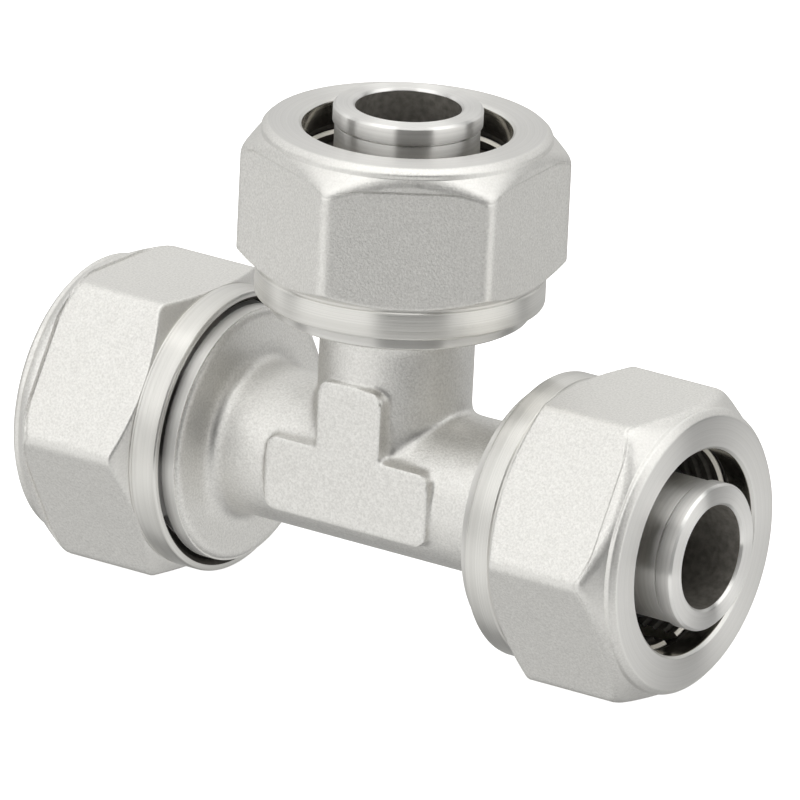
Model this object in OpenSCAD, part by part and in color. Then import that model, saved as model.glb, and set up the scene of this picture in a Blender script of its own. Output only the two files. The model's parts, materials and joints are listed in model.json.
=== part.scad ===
// Equal compression tee for multilayer pipe: a forged brass body with three
// pressed-in hose tails, each with a split clamp ring and a hexagon union nut.
// The origin is where the three pipe axes cross: run along X, branch along +Z.

/* [Pipe] */
// Outside diameter of the pipe
pipe_od = 16; // [14:0.1:20]
// Wall thickness of the pipe
pipe_wall = 2; // [1.6:0.05:2.5]

/* [Tee body] */
// Distance from the crossing of the axes to the back face of each threaded hub
hub_back = 13.3; // [11:0.1:18]
// Length of each hub, from its back face to its mouth
hub_length = 8.3; // [8.2:0.1:11]
// Metal left between the hub's back face and the floor of its socket
hub_web = 2.9; // [2.6:0.1:3.4]
// Wall between the socket and the root of the thread
hub_wall = 1.03; // [0.85:0.01:1.6]
// Plain turned land of the hub that shows behind the nut
hub_land = 1.65; // [1.3:0.05:2]
// Wall of the necks that join the hubs
neck_wall = 1.95; // [1.4:0.1:2.6]
// Radius of the forged fillet between a neck and its hub
hub_fillet = 1.5; // [0.8:0.1:2]
// Radius of the forged blend where the branch leaves the run
crotch_fillet = 1.6; // [0.8:0.1:2]

/* [Raised T on the body] */
// Width of both bars of the T
pad_width = 6.1; // [4:0.1:7]
// Half the length of the bar along the run
pad_reach = 7.8; // [6:0.1:9]
// Height of the leg's top above the run axis
pad_top = 8.75; // [7:0.05:10]
// Height of the flat face above the neck
pad_proud = 0.35; // [0.2:0.05:0.6]
// Radius of the T's corners
pad_corner = 1.1; // [0.5:0.1:1.5]

/* [Thread] */
// Pitch of the half-inch pipe thread
pitch = 1.814; // [1.5:0.001:2.1]
// Depth of the thread
thread_depth = 1.12; // [0.9:0.01:1.2]
// Clearance between the outside and the inside thread, on the radius
thread_gap = 0.18; // [0.17:0.01:0.3]

/* [Union nut] */
// Length of the nut
nut_length = 14.05; // [13.5:0.05:18]
// How far the nut's skirt stays clear of the hub's back face
skirt_clear = 1.5; // [1.2:0.05:1.8]
// Length of the round skirt behind the hexagon
skirt_length = 2.5; // [2:0.1:4]
// Wall of the skirt outside the thread
skirt_wall = 0.92; // [0.8:0.01:1.5]
// Length of the round collar in front of the hexagon
collar_length = 0.85; // [0.6:0.05:1.5]
// How far the hexagon's flats stand above the skirt
flat_step = 0.06; // [0.03:0.01:0.5]
// Radius of the hexagon's long edges
hex_edge = 1.2; // [0.5:0.1:2]
// Angle of the shoulder in front of the hexagon, from its end plane
front_chamfer = 45; // [25:1:50]
// Angle of the chamfer behind the hexagon, from its end plane
back_chamfer = 32; // [20:1:45]
// Turn of the top nut's hexagon, where it came to rest when it was tightened
top_hex_turn = 35.4; // [0:0.1:60]

/* [Clamp ring] */
// Depth of the ring's front end inside the nut's front opening
ring_inset = 2.65; // [2.3:0.05:3.5]
// How far the ring's back end reaches into the hub's mouth
ring_entry = 0.5; // [0.3:0.05:0.8]
// Thickness of the ring at its two ends
ring_edge = 0.35; // [0.3:0.05:0.6]
// Angle of both clamping cones, from the axis
cone_angle = 30; // [20:1:40]
// Width of the slit across the ring
ring_slit = 1.6; // [0.8:0.1:3]
// Depth of the gripping grooves inside the ring
grip_depth = 0.25; // [0.1:0.05:0.4]

/* [Hose tail] */
// Length of the tail that stands out of the nut
tail_proud = 1.65; // [0.5:0.05:4]
// Wall of the tail
tail_wall = 1.55; // [1.4:0.05:2]
// Length of the lip at the end of the tail
lip_length = 1.4; // [0.8:0.1:2.5]
// Step from the lip down to the land behind it
lip_step = 0.18; // [0.1:0.01:0.3]
// Bevel of the lip's front edge
lip_bevel = 0.2; // [0.1:0.05:0.5]
// Length of the spigot that is pressed into the body
spigot_length = 2.2; // [1.8:0.1:2.5]
// Thickness of the shoulder that seats on the socket's floor
shoulder = 0.8; // [0.6:0.05:1.2]
// Thickness of the insulating washer
washer_t = 1.2; // [0.8:0.1:1.6]
// Cord diameter of the two seals on the tail
o_ring_cord = 1.1; // [0.9:0.05:1.3]
// Distance between the two seals on the tail
o_ring_spacing = 3.4; // [2.6:0.1:4]

/* [Clearances] */
// Radial clearance of the pipe in the socket
socket_gap = 0.25; // [0.15:0.05:0.4]
// Radial clearance of the pipe in the nut's front opening
opening_gap = 0.3; // [0.2:0.05:0.5]
// Radial clearance of the pipe in the open clamp ring
ring_gap = 0.15; // [0.1:0.05:0.25]
// Radial clearance between the tail's lip and the pipe
lip_gap = 0.07; // [0.05:0.01:0.12]
// Clearance between the ring's cones and their seats
seat_gap = 0.08; // [0.05:0.01:0.15]
// Clearance of the ring inside the nut's thread, on the radius
pass_gap = 0.25; // [0.1:0.05:0.4]
// Radial clearance of the tail's shoulder and the washer in the socket
shoulder_gap = 0.1; // [0.05:0.01:0.2]
// Clearance between pieces that are pressed or laid together
fit_gap = 0.02; // [0.01:0.01:0.05]

/* [Hidden] */
BRANCHES = ["left", "right", "top"];

$fn = 96;
eps = 0.01;

// Radii, from the pipe outwards and inwards
pipe_r = pipe_od / 2;
socket_r = pipe_r + socket_gap;
opening_r = pipe_r + opening_gap;
ring_bore_r = pipe_r + ring_gap;
lip_r = pipe_r - pipe_wall - lip_gap;
land_r = lip_r - lip_step;
water_r = land_r - tail_wall;
neck_r = water_r + neck_wall;

// Thread radii: the hub's root and crest, then the nut's
hub_root = socket_r + hub_wall;
hub_crest = hub_root + thread_depth;
nut_crest = hub_root + thread_gap;
nut_root = hub_crest + thread_gap;
hub_land_r = hub_crest - 0.05;
thread_lead = 0.8;
n_seg = 36;
// How far a thread's carrier reaches into the metal behind its root
thread_bed = 0.3;

// Places along a branch, outwards from the crossing of the axes
hub_end = hub_back + hub_length;
socket_floor = hub_back + hub_web;
thread_start = hub_back + hub_land;
skirt_end = hub_back + skirt_clear;
hex_back = skirt_end + skirt_length;
nut_front = skirt_end + nut_length;
hex_front = nut_front - collar_length;
thread_overrun = 0.6;
nut_thread_end = hub_end + thread_overrun;
mouth_chamfer = 0.4;

// Nut
skirt_r = nut_root + skirt_wall;
flat_r = skirt_r + flat_step;
corner_r = (flat_r - hex_edge) / cos(30);
core_r = nut_root + thread_bed;
cone = tan(cone_angle);
cone_offset = seat_gap / cos(cone_angle);

// Clamp ring
ring_r = nut_crest - pass_gap;
ring_back = hub_end - ring_entry;
ring_front = nut_front - ring_inset;
ring_end_r = ring_bore_r + ring_edge;
ring_cone_length = (ring_r - ring_end_r) / cone;
relief_gap = 0.4;
relief_r = ring_r + relief_gap;

// Hose tail
spigot_step = 0.25;
spigot_bore_r = land_r + spigot_step;
spigot_r = spigot_bore_r - fit_gap;
spigot_end = socket_floor - spigot_length;
seal_cord = 0.9;
seal_floor_r = spigot_bore_r - seal_cord - 2 * fit_gap;
seal_at = socket_floor - spigot_length / 2;
shoulder_r = socket_r - shoulder_gap;
washer_at = socket_floor + shoulder;
pipe_stop = washer_at + fit_gap + washer_t;
tail_end = nut_front + tail_proud;
// The O-rings stand a little prouder than the pipe's bore, so that the pipe squeezes them
o_ring_squeeze = 0.12;
o_ring_floor_r = pipe_r - pipe_wall + o_ring_squeeze - o_ring_cord - fit_gap;
first_o_ring = pipe_stop + 3;
o_rings_at = [first_o_ring, first_o_ring + o_ring_spacing];

// Raised T
pad_face = neck_r + pad_proud;

// Colours
forged_nickel = [0.79, 0.78, 0.76];
turned_nickel = [0.86, 0.85, 0.83];
ring_brass = [0.83, 0.80, 0.74];
black_rubber = [0.07, 0.07, 0.07];
white_ptfe = [0.93, 0.93, 0.91];

// Puts a piece that is drawn along +Z onto its branch
module on_branch(branch) {
    tilt = (branch == "right") ? 90 : (branch == "left") ? -90 : 0;
    rotate([0, tilt, 0]) children();
}

// Radius and height of the thread's corner points on the meridian at angle a.
// The helix rises one pitch a turn, and its depth fades over the lead at both ends.
function thread_column(a, low, high, r_root, r_crest, phase) =
    let (first = floor(low / pitch) - 2, last = ceil(high / pitch) + 1)
    [for (k = [first : last], s = [0, 0.125, 0.5, 0.625])
        let (z = pitch * (k + a / 360 + phase + s),
             height = min(max(z, low), high),
             fade = min(1, max(0, min(height - low, high - height) / thread_lead)),
             radius = (s < 0.5) ? r_root + fade * (r_crest - r_root) : r_root)
        [radius, height]];

// A helical thread from low to high. Its plain side lies inside the metal that carries it.
module thread_sleeve(low, high, r_root, r_crest, r_plain, phase = 0) {
    step = 360 / n_seg;
    columns = [for (i = [0 : n_seg])
        thread_column(i * step, low, high, r_root, r_crest, phase)];
    m = len(columns[0]);
    threaded = [for (i = [0 : n_seg - 1], p = columns[i])
        [p[0] * cos(i * step), p[0] * sin(i * step), p[1]]];
    plain = [for (z = [low, high], i = [0 : n_seg - 1])
        [r_plain * cos(i * step), r_plain * sin(i * step), z]];
    points = concat(threaded, plain);
    // After a full turn the helix has climbed one pitch, which is four points
    function at(i, j) = (i < n_seg) ? i * m + j : j + 4;
    function rim(i, j) = (i % n_seg) * m + j;
    function bottom(i) = n_seg * m + i % n_seg;
    function top(i) = n_seg * (m + 1) + i % n_seg;
    flanks = [for (i = [0 : n_seg - 1], j = [0 : m - 2 - (i == n_seg - 1 ? 4 : 0)]) each
        [[at(i, j), at(i, j + 1), at(i + 1, j + 1)], [at(i, j), at(i + 1, j + 1), at(i + 1, j)]]];
    ends = [for (i = [0 : n_seg - 1]) each
        [[bottom(i), rim(i, 0), rim(i + 1, 0)], [bottom(i), rim(i + 1, 0), bottom(i + 1)],
         [top(i), rim(i + 1, m - 1), rim(i, m - 1)], [top(i), top(i + 1), rim(i + 1, m - 1)],
         [bottom(i), bottom(i + 1), top(i + 1)], [bottom(i), top(i + 1), top(i)]]];
    function real_face(f) = points[f[0]] != points[f[1]] && points[f[1]] != points[f[2]]
        && points[f[0]] != points[f[2]];
    faces = [for (f = concat(flanks, ends)) if (real_face(f)) f];
    outward = r_plain < r_root;
    polyhedron(points = points, faces = outward ? faces : [for (f = faces) [f[0], f[2], f[1]]]);
}

// Solid turned from a profile whose points are [radius, height]
module turned(profile) rotate_extrude() polygon(profile);

// Hub without its bores: forged back with a fillet to the neck, turned land, threaded nose
module hub_blank() {
    fillet_r = neck_r + hub_fillet;
    draft = 0.15;
    bevel = 0.4;
    rotate_extrude() difference() {
        polygon([[0, hub_back - hub_fillet], [fillet_r, hub_back - hub_fillet], [fillet_r, hub_back],
            [hub_land_r - bevel, hub_back + draft], [hub_land_r, hub_back + draft + bevel],
            [hub_land_r, thread_start], [hub_root - thread_bed / 2, thread_start],
            [hub_root - thread_bed / 2, hub_end], [0, hub_end]]);
        translate([fillet_r, hub_back - hub_fillet]) circle(r = hub_fillet);
    }
    thread_sleeve(thread_start, hub_end, hub_root, hub_crest, hub_root - thread_bed);
}

// Everything that is bored out of one branch
module hub_bores() {
    // The mouth's cone follows the ring's back cone at the seat clearance
    mouth_r = ring_end_r + cone * ring_entry + cone_offset;
    mouth_depth = (mouth_r - socket_r) / cone;
    cylinder(r = water_r, h = hub_end);
    translate([0, 0, spigot_end - fit_gap]) cylinder(r = spigot_bore_r, h = hub_length);
    translate([0, 0, socket_floor]) cylinder(r = socket_r, h = hub_length);
    translate([0, 0, hub_end - mouth_depth])
        cylinder(r1 = socket_r, r2 = mouth_r + eps * cone, h = mouth_depth + eps);
}

// Flat T on both faces of the body, extruded right through it
module raised_t() {
    rotate([90, 0, 0]) linear_extrude(height = 2 * pad_face, center = true)
        offset(r = -pad_corner / 3) offset(delta = pad_corner / 3)
        offset(r = pad_corner, $fn = 32) offset(delta = -pad_corner) {
            square([2 * pad_reach, pad_width], center = true);
            translate([-pad_width / 2, 0]) square([pad_width, pad_top]);
        }
}

// Web that rounds the corner between the branch and one side of the run
module crotch_blend() {
    corner = neck_r + crotch_fillet;
    rotate([90, 0, 0]) linear_extrude(height = pad_width, center = true) difference() {
        square(corner);
        translate([corner, corner]) circle(r = crotch_fillet);
    }
}

module tee_body() {
    color(forged_nickel) difference() {
        union() {
            rotate([0, 90, 0]) cylinder(r = neck_r, h = 2 * (hub_back - eps), center = true);
            cylinder(r = neck_r, h = hub_back - eps);
            raised_t();
            crotch_blend();
            mirror([1, 0, 0]) crotch_blend();
            for (branch = BRANCHES) on_branch(branch) hub_blank();
        }
        for (branch = BRANCHES) on_branch(branch) hub_bores();
    }
}

// Hexagon with rounded edges: twelve tangent points, and a round at each corner
module hexagon_bar(height) {
    corners = [for (k = [0 : 5]) corner_r * [cos(60 * k), sin(60 * k)]];
    tangents = [for (k = [0 : 5], side = [-30, 30])
        corners[k] + hex_edge * [cos(60 * k + side), sin(60 * k + side)]];
    linear_extrude(height = height) polygon(tangents);
    for (c = corners) translate(c) cylinder(r = hex_edge, h = height);
}

// Union nut, with its hexagon turned about the axis
module nut(turn) {
    reach = corner_r + hex_edge;
    front_trim = (reach - skirt_r) * tan(front_chamfer);
    back_trim = (reach - skirt_r) * tan(back_chamfer);
    edge = 0.3;
    // Front seat: a cone that follows the ring's front cone at the seat clearance
    seat_r = ring_end_r + cone_offset;
    seat_front = ring_front + (seat_r - opening_r) / cone;
    seat_back = ring_front - (relief_r - seat_r) / cone;
    color(forged_nickel) union() {
        difference() {
            union() {
                turned([[0, skirt_end], [skirt_r - edge, skirt_end], [skirt_r, skirt_end + edge],
                    [skirt_r, hex_back], [core_r, hex_back], [core_r, hex_front],
                    [skirt_r, hex_front], [skirt_r, nut_front - 2 * edge],
                    [skirt_r - 2 * edge, nut_front], [0, nut_front]]);
                intersection() {
                    translate([0, 0, hex_back]) rotate(turn) hexagon_bar(hex_front - hex_back);
                    turned([[0, hex_back - 1], [skirt_r, hex_back - 1], [skirt_r, hex_back],
                        [reach, hex_back + back_trim], [reach, hex_front - front_trim],
                        [skirt_r, hex_front], [skirt_r, hex_front + 1], [0, hex_front + 1]]);
                }
            }
            turned([[0, skirt_end - 1], [nut_root + mouth_chamfer, skirt_end - 1],
                [nut_root + mouth_chamfer, skirt_end],
                [nut_root + thread_bed / 3, skirt_end + mouth_chamfer],
                [nut_root + thread_bed / 3, nut_thread_end], [relief_r, nut_thread_end],
                [relief_r, seat_back], [opening_r, seat_front], [opening_r, nut_front - edge],
                [opening_r + 2 * edge, nut_front + edge], [0, nut_front + edge]]);
        }
        thread_sleeve(skirt_end + mouth_chamfer, nut_thread_end, nut_root, nut_crest,
            nut_root + thread_bed, 0.5);
    }
}

// Split ring with two outer cones, gripping grooves inside and one slit
module clamp_ring() {
    grooves = 4;
    groove_step = (ring_front - ring_back) / (grooves + 1);
    color(ring_brass) difference() {
        turned([[ring_bore_r, ring_back], [ring_end_r, ring_back],
            [ring_r, ring_back + ring_cone_length], [ring_r, ring_front - ring_cone_length],
            [ring_end_r, ring_front], [ring_bore_r, ring_front]]);
        for (k = [1 : grooves]) translate([0, 0, ring_back + k * groove_step])
            turned([[ring_bore_r - 1, -grip_depth], [ring_bore_r, -grip_depth],
                [ring_bore_r + grip_depth, 0], [ring_bore_r, grip_depth], [ring_bore_r - 1, grip_depth]]);
        translate([0, -ring_slit / 2, ring_back - 1])
            cube([2 * ring_r, ring_slit, ring_front - ring_back + 2]);
    }
}

// Ring-shaped groove for a seal of the given cord, cut from outside
module seal_groove(floor_r, cord, at) {
    width = 1.25 * cord;
    translate([0, 0, at - width / 2]) difference() {
        cylinder(r = shoulder_r + 1, h = width);
        translate([0, 0, -1]) cylinder(r = floor_r, h = width + 2);
    }
}

// Turned hose tail, pressed into the floor of the hub's socket
module tail_insert() {
    edge = 0.2;
    color(turned_nickel) difference() {
        turned([[water_r, spigot_end], [spigot_r - edge, spigot_end], [spigot_r, spigot_end + edge],
            [spigot_r, socket_floor + fit_gap], [shoulder_r, socket_floor + fit_gap],
            [shoulder_r, washer_at], [land_r, washer_at],
            [land_r, tail_end - lip_length - lip_step], [lip_r, tail_end - lip_length],
            [lip_r, tail_end - lip_bevel], [lip_r - lip_bevel, tail_end],
            [water_r + edge, tail_end], [water_r, tail_end - edge]]);
        seal_groove(seal_floor_r, seal_cord, seal_at);
        for (at = o_rings_at) seal_groove(o_ring_floor_r, o_ring_cord, at);
    }
}

// Rubber ring lying on a groove's floor
module o_ring(floor_r, cord, at) {
    color(black_rubber) translate([0, 0, at]) rotate_extrude()
        translate([floor_r + fit_gap + cord / 2, 0]) circle(d = cord, $fn = 32);
}

// Insulating washer between the tail's shoulder and the end of the pipe
module washer() {
    color(white_ptfe) translate([0, 0, washer_at + fit_gap]) difference() {
        cylinder(r = shoulder_r, h = washer_t);
        translate([0, 0, -1]) cylinder(r = land_r + 2 * fit_gap, h = washer_t + 2);
    }
}

// Builds a piece when the whole part or that node is asked for
module piece(name) {
    children();
}

piece("tee_body") tee_body();
for (branch = BRANCHES) on_branch(branch) {
    piece(str(branch, "_nut")) nut(branch == "top" ? top_hex_turn : 30);
    piece(str(branch, "_clamp_ring")) clamp_ring();
    piece(str(branch, "_tail_insert")) tail_insert();
    piece(str(branch, "_insert_seal")) o_ring(seal_floor_r, seal_cord, seal_at);
    piece(str(branch, "_washer")) washer();
    piece(str(branch, "_inner_o_ring")) o_ring(o_ring_floor_r, o_ring_cord, o_rings_at[0]);
    piece(str(branch, "_outer_o_ring")) o_ring(o_ring_floor_r, o_ring_cord, o_rings_at[1]);
}
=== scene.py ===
# %% [markdown]
# # A compression tee for 16 mm multilayer pipe
#
# The real fitting is a forged brass body, nickel plated, with a union nut, a split clamp ring
# and a turned hose tail on each of its three branches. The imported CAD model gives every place
# and size. This lesson models each visible piece again with Blender's own tools, so that edges
# are softened, the forging flows into its necks and the threads are cut, and then gives each
# piece a procedural finish. Everything is in metres, in the frame of the CAD model.

# %% Load the frame
import json
import math

import bmesh
import bpy
from mathutils import Matrix, Vector

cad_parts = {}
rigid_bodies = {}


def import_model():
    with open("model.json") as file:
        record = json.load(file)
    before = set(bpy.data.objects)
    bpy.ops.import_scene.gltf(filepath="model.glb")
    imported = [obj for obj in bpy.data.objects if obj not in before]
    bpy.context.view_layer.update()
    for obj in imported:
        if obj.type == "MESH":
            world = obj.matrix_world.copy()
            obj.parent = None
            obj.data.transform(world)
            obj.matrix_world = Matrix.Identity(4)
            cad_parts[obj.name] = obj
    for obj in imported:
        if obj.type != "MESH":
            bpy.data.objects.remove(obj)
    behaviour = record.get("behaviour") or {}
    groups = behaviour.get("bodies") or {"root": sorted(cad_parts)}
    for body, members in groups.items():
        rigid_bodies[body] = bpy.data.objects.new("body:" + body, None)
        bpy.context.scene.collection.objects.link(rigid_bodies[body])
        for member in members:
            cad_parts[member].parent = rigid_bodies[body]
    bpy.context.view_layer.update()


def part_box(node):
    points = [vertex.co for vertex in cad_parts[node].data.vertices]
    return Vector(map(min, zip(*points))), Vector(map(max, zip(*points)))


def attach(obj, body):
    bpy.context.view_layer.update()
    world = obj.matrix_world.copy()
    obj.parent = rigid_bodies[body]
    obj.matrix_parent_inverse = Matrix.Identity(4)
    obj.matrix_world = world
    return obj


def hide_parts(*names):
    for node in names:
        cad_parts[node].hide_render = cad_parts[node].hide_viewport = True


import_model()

MM = 0.001
# Each branch, and the turn about Y, in degrees, that carries an upright piece onto it
BRANCHES = {"left": -90, "right": 90, "top": 0}

# %% [markdown]
# ## The camera and its view
#
# A long lens from far away keeps the nuts' edges nearly parallel. The camera stands to the right
# of the front and a little above, and is rolled by under three degrees. Its three axes are
# worked out from those angles and written straight into its matrix, because that is shorter and
# surer than a chain of rotations.

# %% Camera
azimuth, elevation, roll = math.radians(33.6), math.radians(18.9), math.radians(2.73)
back = Vector((math.sin(azimuth) * math.cos(elevation), -math.cos(azimuth) * math.cos(elevation),
               math.sin(elevation)))
level_right = Vector((math.cos(azimuth), math.sin(azimuth), 0))
level_up = back.cross(level_right)
right = level_right * math.cos(roll) + level_up * math.sin(roll)
up = level_up * math.cos(roll) - level_right * math.sin(roll)
aim = right * 0.70 * MM + up * 5.65 * MM
camera_distance = 1.38

camera_data = bpy.data.cameras.new("studio_camera")
camera_data.lens = 786
camera_data.clip_start, camera_data.clip_end = 0.1, 10
camera = bpy.data.objects.new("studio_camera", camera_data)
bpy.context.scene.collection.objects.link(camera)
camera.matrix_world = Matrix.Translation(aim + back * camera_distance) @ Matrix(
    (right, up, back)).transposed().to_4x4()
bpy.context.scene.camera = camera
bpy.context.scene.view_settings.view_transform = "Standard"
print("camera at", [round(v, 3) for v in camera.location])

# %% [markdown]
# ## Sizes
#
# Lengths along a branch come from the boxes of the top branch's nodes, because that branch is
# upright: its heights are the distances from the crossing of the axes. Radii come from the same
# boxes where a box shows them, and the hidden ones are chained to them by wall thicknesses. The
# clamp ring's two cones, the nut's seat and the hub's mouth share one slope.

# %% Measures from the frame
def heights(node):
    low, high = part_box(node)
    return low.z, high.z


def outer_radius(node):
    low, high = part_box(node)
    return (high.y - low.y) / 2


skirt_end, nut_front = heights("top_nut")
ring_back, ring_front = heights("top_clamp_ring")
spigot_end, tail_end = heights("top_tail_insert")
washer_low, washer_high = heights("top_washer")
hub_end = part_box("tee_body")[1].z
floor_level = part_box("left_nut")[0].z
corner_r = outer_radius("left_nut")
flat_r = -floor_level
skirt_r = flat_r - 0.06 * MM
ring_r = outer_radius("right_clamp_ring")
shoulder_r = outer_radius("top_washer")
socket_r = shoulder_r + 0.1 * MM
opening_r = 8.3 * MM
ring_end_r, cone_slope, cone_gap = 8.5 * MM, math.tan(math.radians(30)), 0.09 * MM
seat_r = ring_end_r + cone_gap
lip_r = 5.93 * MM
land_r = lip_r - 0.18 * MM
water_r = 4.2 * MM
neck_r = water_r + 1.95 * MM
pitch = 1.814 * MM
hub_root, hub_crest = socket_r + 1.03 * MM, socket_r + 2.15 * MM
thread_play = 0.18 * MM
nut_crest, nut_root = hub_root + thread_play, hub_crest + thread_play
hub_back = hub_end - 8.3 * MM
socket_floor = hub_back + 2.9 * MM
thread_start = hub_back + 1.65 * MM
print("nut", round(skirt_end / MM, 2), round(nut_front / MM, 2), "hub end", round(hub_end / MM, 2),
      "corner", round(corner_r / MM, 2), "flat", round(flat_r / MM, 2))

# %% [markdown]
# ## Turning on the lathe
#
# Nearly every piece here is a ring that was turned. Its section is a closed outline of points,
# each a radius and a height. A circle primitive with as many vertices as the outline has points
# gives the loop, its vertices are moved to the outline, and Spin carries the loop round the axis.
# A real edge is never sharp, so each corner of the outline is first replaced by a short arc.

# %% Helpers for selecting
def start_clean():
    if bpy.context.object and bpy.context.object.mode != "OBJECT":
        bpy.ops.object.mode_set(mode="OBJECT")
    bpy.ops.object.select_all(action="DESELECT")


def activate(piece):
    start_clean()
    piece.select_set(True)
    bpy.context.view_layer.objects.active = piece


print("selected now:", len(bpy.context.selected_objects))


# %% Sections with soft corners
def softened(outline, radius=0.12 * MM, steps=4):
    """Replaces each corner (radius, height[, own corner radius]) of a closed outline by an arc."""
    points = []
    count = len(outline)
    for i, corner in enumerate(outline):
        here = Vector(corner[:2])
        before, after = Vector(outline[i - 1][:2]) - here, Vector(outline[(i + 1) % count][:2]) - here
        wanted = corner[2] if len(corner) > 2 else radius
        half = before.angle(after) / 2
        if wanted == 0 or half > math.radians(88):
            points.append(here)
            continue
        reach = min(wanted / math.tan(half), 0.45 * before.length, 0.45 * after.length)
        wanted = reach * math.tan(half)
        middle = here + (before.normalized() + after.normalized()).normalized() * wanted / math.sin(half)
        first, last = here + before.normalized() * reach - middle, here + after.normalized() * reach - middle
        sweep = first.angle_signed(last)
        for k in range(steps + 1):
            points.append(middle + Matrix.Rotation(-sweep * k / steps, 2) @ first)
    return points


print("a square corner becomes", len(softened([(0, 0, 0), (1, 0), (1, 1, 0)], radius=0.1)) - 2, "points")


# %% Turned pieces and their copies
def tidy_mesh(piece, merge=0.002 * MM):
    activate(piece)
    bpy.ops.object.mode_set(mode="EDIT")
    bpy.ops.mesh.select_all(action="SELECT")
    bpy.ops.mesh.remove_doubles(threshold=merge)
    bpy.ops.mesh.normals_make_consistent(inside=False)
    bpy.ops.object.mode_set(mode="OBJECT")


def turned(name, outline, steps=128, gap=0.0):
    """A closed ring from its section; gap is an angle left open, as in a split ring."""
    start_clean()
    bpy.ops.mesh.primitive_circle_add(vertices=len(outline), fill_type="NOTHING")
    piece = bpy.context.object
    piece.name = piece.data.name = name
    for vertex, (r, z) in zip(piece.data.vertices, outline):
        vertex.co = (r * math.cos(gap / 2), r * math.sin(gap / 2), z)
    bpy.ops.object.mode_set(mode="EDIT")
    bpy.ops.mesh.select_all(action="SELECT")
    if gap:
        bpy.ops.mesh.edge_face_add()
    bpy.ops.mesh.spin(steps=steps, angle=math.tau - gap, center=(0, 0, 0), axis=(0, 0, 1))
    bpy.ops.object.mode_set(mode="OBJECT")
    tidy_mesh(piece)
    return piece


def place_on_branch(piece, branch):
    activate(piece)
    piece.rotation_euler.y = math.radians(BRANCHES[branch])
    bpy.ops.object.transform_apply(location=False, rotation=True, scale=False)


def copy_of(piece, name):
    twin = piece.copy()
    twin.data = piece.data.copy()
    twin.name = twin.data.name = name
    bpy.context.scene.collection.objects.link(twin)
    return twin


print("branches:", list(BRANCHES))


# %% Modifiers and shading
def apply_modifier(piece, kind, **settings):
    activate(piece)
    modifier = piece.modifiers.new(kind.lower(), kind)
    for key, value in settings.items():
        setattr(modifier, key, value)
    bpy.ops.object.modifier_apply(modifier=modifier.name)


def combine(piece, other, operation):
    apply_modifier(piece, "BOOLEAN", object=other, operation=operation, solver="EXACT")
    bpy.data.objects.remove(other)


def shade(piece, angle):
    activate(piece)
    bpy.ops.object.shade_smooth_by_angle(angle=math.radians(angle))


# %% [markdown]
# ## Cutting a thread
#
# The thread is one ridge with a trapezoid section that climbs a pitch in each turn. The Screw
# modifier sweeps the section up the helix, and the ridge fades into the root at both ends, as
# the tool runs in and out. The ridge of a hub points outwards and the ridge of a nut inwards,
# half a pitch apart, so that they mesh with clearance when the nut is on.

# %% Thread ridge
def thread_ridge(name, low, high, root, crest, phase=0.0):
    """Ridge between two heights; phase is the share of a turn by which it is turned back."""
    depth = crest - root
    sunk = root - math.copysign(0.12 * MM, depth)
    # Radius and height, in pitches, of the section, and the room it needs below and above
    section = [(sunk, -0.40), (root, -0.375), (crest, 0.0), (crest, 0.125), (root, 0.5), (sunk, 0.525)]
    room_below, room_above = 0.42, 0.55
    first = low + room_below * pitch
    turns = (high - low) / pitch - room_below - room_above
    start_clean()
    bpy.ops.mesh.primitive_circle_add(vertices=len(section), fill_type="NOTHING")
    ridge = bpy.context.object
    ridge.name = name
    for vertex, (r, share) in zip(ridge.data.vertices, section):
        vertex.co = (r, 0, first + share * pitch)
    steps = round(64 * turns)
    apply_modifier(ridge, "SCREW", angle=math.tau * turns, screw_offset=pitch * turns, steps=steps,
                   render_steps=steps, iterations=1, axis="Z")
    fade_start, fade_length = 0.05, 0.7
    for vertex in ridge.data.vertices:
        r = math.hypot(vertex.co.x, vertex.co.y)
        along = min(vertex.co.z - low, high - vertex.co.z) / pitch
        fade = min(1, max(0.0, (along - fade_start) / fade_length))
        if (r - root) * depth > 0:
            scale = (root + (r - root) * fade) / r
            vertex.co.x *= scale
            vertex.co.y *= scale
    ridge.rotation_euler.z = math.tau * (first / pitch - phase)
    activate(ridge)
    bpy.ops.object.transform_apply(location=False, rotation=True, scale=False)
    bpy.ops.object.mode_set(mode="EDIT")
    bpy.ops.mesh.select_all(action="SELECT")
    bpy.ops.mesh.fill_holes(sides=0)
    bpy.ops.object.mode_set(mode="OBJECT")
    tidy_mesh(ridge, merge=0.0005 * MM)
    return ridge


print("ridge height:", round((hub_crest - hub_root) / MM, 2), "mm, pitch:", round(pitch / MM, 3), "mm")

# %% [markdown]
# ## The union nut
#
# The nut was forged as a rounded hexagon with a shoulder that falls away to a round collar, and
# then turned: skirt, collar, front face and inside. A Boolean of a turned blank and a hexagonal
# bar gives hard edges that a bevel can't follow, so the blank is turned first, with close rows
# of vertices, and each vertex outside the hexagon is then pushed in to it. A smooth minimum of
# the two radii leaves a soft edge along the curves where the flats cut the shoulder. The
# forging is a little thicker at the front, which leaves the low ledge above each flat.

# %% Hexagon
hex_back = skirt_end + 2.5 * MM
hex_front = nut_front - 0.85 * MM
hex_edge = 1.1 * MM
ledge_depth, ledge_back = 0.13 * MM, 1.85 * MM
ledge_line_depth, ledge_line_width = 0.07 * MM, 0.22 * MM


def smooth_step(low, high, value):
    share = min(1.0, max(0.0, (value - low) / (high - low)))
    return share * share * (3 - 2 * share)


def smooth_minimum(first, second, blend):
    share = max(blend - abs(first - second), 0.0) / blend
    return min(first, second) - share * share * blend / 4


def off_flat(angle):
    """Angle from the middle of the nearest flat, from 0 to 30 degrees."""
    return abs((angle + math.radians(30)) % math.radians(60) - math.radians(30))


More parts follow.
